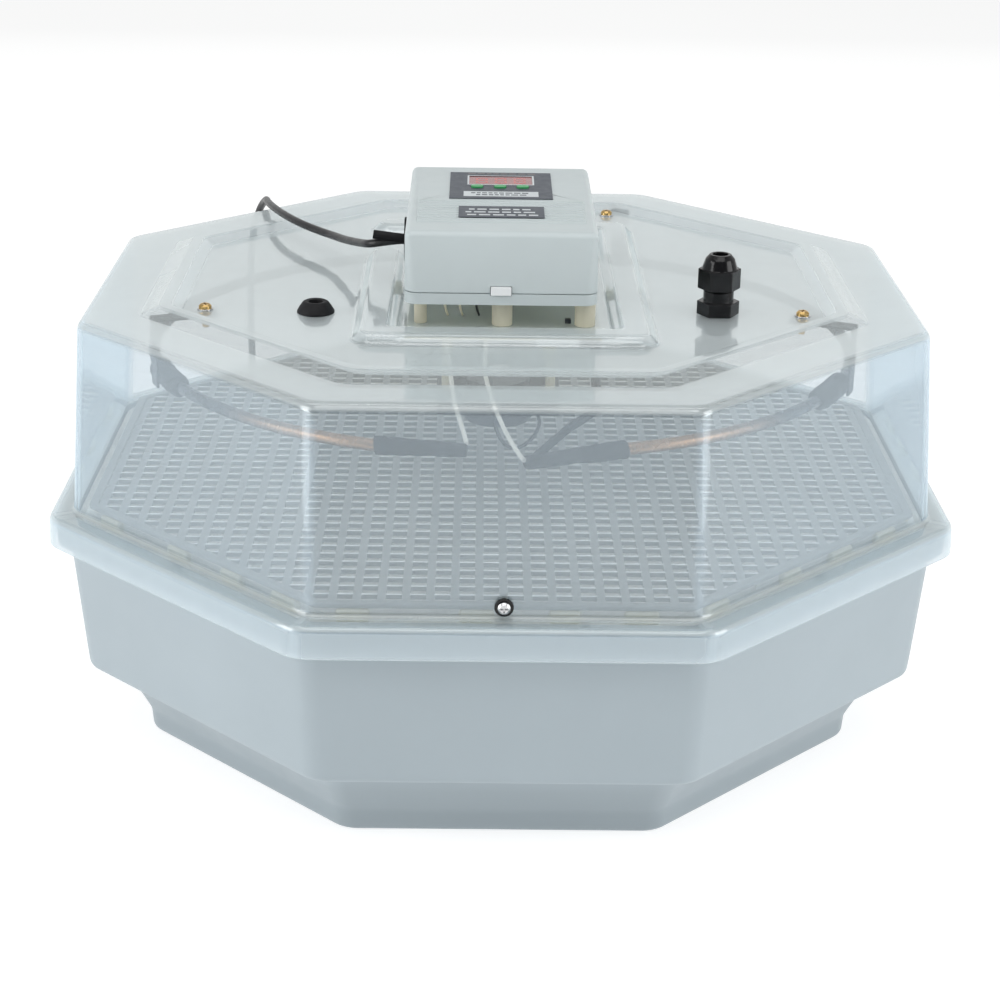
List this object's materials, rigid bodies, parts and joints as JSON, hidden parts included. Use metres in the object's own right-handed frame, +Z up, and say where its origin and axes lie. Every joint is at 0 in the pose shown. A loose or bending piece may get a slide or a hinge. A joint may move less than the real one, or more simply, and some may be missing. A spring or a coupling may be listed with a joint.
{
  "type": "egg incubator",
  "caption": "Octagonal egg incubator: pale moulded base with an egg grid, clear lift-off lid with a heating ring and fan, and a control box on top.",
  "frame": {"origin": "middle of the base's underside", "axes": "+Z up; the flat sides face X and Y; the control box's front faces -Y"},
  "size_m": [0.54, 0.57, 0.3298],
  "materials": {
    "tub_plastic": "moulded, slightly glossy",
    "foam": "foamed plastic",
    "tray_plastic": "vacuum formed",
    "grid_plastic": "moulded, slightly translucent",
    "clear_plastic": "clear, faintly hazy plastic",
    "black_rubber": "moulded rubber",
    "black_plastic": "glossy nylon",
    "steel": "zinc plated",
    "brass": "machined",
    "dark_metal": "dark coated strip",
    "heater_metal": "heat-tinted tube",
    "white_wire": "silicone insulation",
    "black_wire": "flexible insulation",
    "cream_plastic": "nylon",
    "fan_plastic": "moulded",
    "case_plastic": "moulded, satin",
    "white_plastic": "moulded",
    "board_green": "coated laminate",
    "coil_yellow": "taped winding",
    "relay_blue": "moulded",
    "terminal_green": "moulded",
    "display_black": "moulded",
    "display_red": "tinted clear",
    "button_green": "moulded",
    "label_grey": "printed film",
    "cord_black": "flexible sheath",
    "pin_metal": "nickel plated"
  },
  "bodies": {
    "base": {"base_tub": "tub_plastic", "base_insulation": "foam", "inner_tray": "tray_plastic", "water_divider": "tray_plastic", "grid_rests": "foam", "cord_coil": "cord_black", "cord_lower": "cord_black", "power_plug": "cord_black", "plug_pins": "pin_metal"},
    "lid": {"lid_cover": "clear_plastic", "lid_bead": "clear_plastic", "gland_body": "black_plastic", "gland_locknut": "black_plastic", "gland_seal": "black_rubber", "front_screw": "steel", "front_washer": "black_plastic", "front_nut": "steel", "hanger_screws": "brass", "hanger_washers": "steel", "hanger_nuts": "brass", "heater_hangers": "dark_metal", "heater_clamps": "black_rubber", "heater_tube": "heater_metal", "heater_sleeve_left": "black_rubber", "heater_sleeve_right": "black_rubber", "heater_lead_left": "white_wire", "heater_lead_right": "white_wire", "fan_mount_plate": "cream_plastic", "fan_spacers": "cream_plastic", "fan_frame": "fan_plastic", "fan_motor": "fan_plastic", "fan_lead": "black_wire", "sensor_cable": "black_wire", "sensor_probe": "black_rubber", "standoffs": "cream_plastic", "standoff_screws": "steel", "case_base": "case_plastic", "case_cover": "case_plastic", "case_screws": "steel", "front_clip": "white_plastic", "power_board": "board_green", "transformer": "coil_yellow", "relay": "relay_blue", "terminal_block": "terminal_green", "display_board": "board_green", "display_module": "display_black", "display_window": "display_red", "button_switches": "display_black", "face_label": "label_grey", "rating_label": "label_grey", "cord_bush": "black_rubber", "power_cord": "cord_black"},
    "egg_grid": {"egg_grid": "grid_plastic"},
    "vent_plug": {"vent_plug": "black_rubber"},
    "gland_nut": {"gland_dome_nut": "black_plastic"},
    "fan_rotor": {"fan_rotor": "fan_plastic", "fan_shaft": "steel"},
    "button_left": {"button_left": "button_green"},
    "button_middle": {"button_middle": "button_green"},
    "button_right": {"button_right": "button_green"}
  },
  "joints": [
    {"name": "lid_lift", "type": "slide", "parent": "base", "child": "lid", "axis": [0, 0, 1], "range_m": [0, 0.2]},
    {"name": "grid_lift", "type": "slide", "parent": "base", "child": "egg_grid", "axis": [0, 0, 1], "range_m": [0, 0.012]},
    {"name": "vent_plug_pull", "type": "slide", "parent": "lid", "child": "vent_plug", "axis": [0, 0, 1], "range_m": [0, 0.02]},
    {"name": "gland_nut_turn", "type": "hinge", "parent": "lid", "child": "gland_nut", "pos_m": [0.1265, -0.069, 0.2892], "axis": [0, 0, 1], "continuous": true},
    {"name": "fan_spin", "type": "hinge", "parent": "lid", "child": "fan_rotor", "pos_m": [-0.0025, 0, 0.2], "axis": [0, 0, 1], "continuous": true},
    {"name": "button_left_press", "type": "slide", "parent": "lid", "child": "button_left", "axis": [0, 0.0349, -0.9994], "range_m": [0, 0.0008], "stiffness_N_per_m": 400},
    {"name": "button_middle_press", "type": "slide", "parent": "lid", "child": "button_middle", "axis": [0, 0.0349, -0.9994], "range_m": [0, 0.0008], "stiffness_N_per_m": 400},
    {"name": "button_right_press", "type": "slide", "parent": "lid", "child": "button_right", "axis": [0, 0.0349, -0.9994], "range_m": [0, 0.0008], "stiffness_N_per_m": 400}
  ]
}
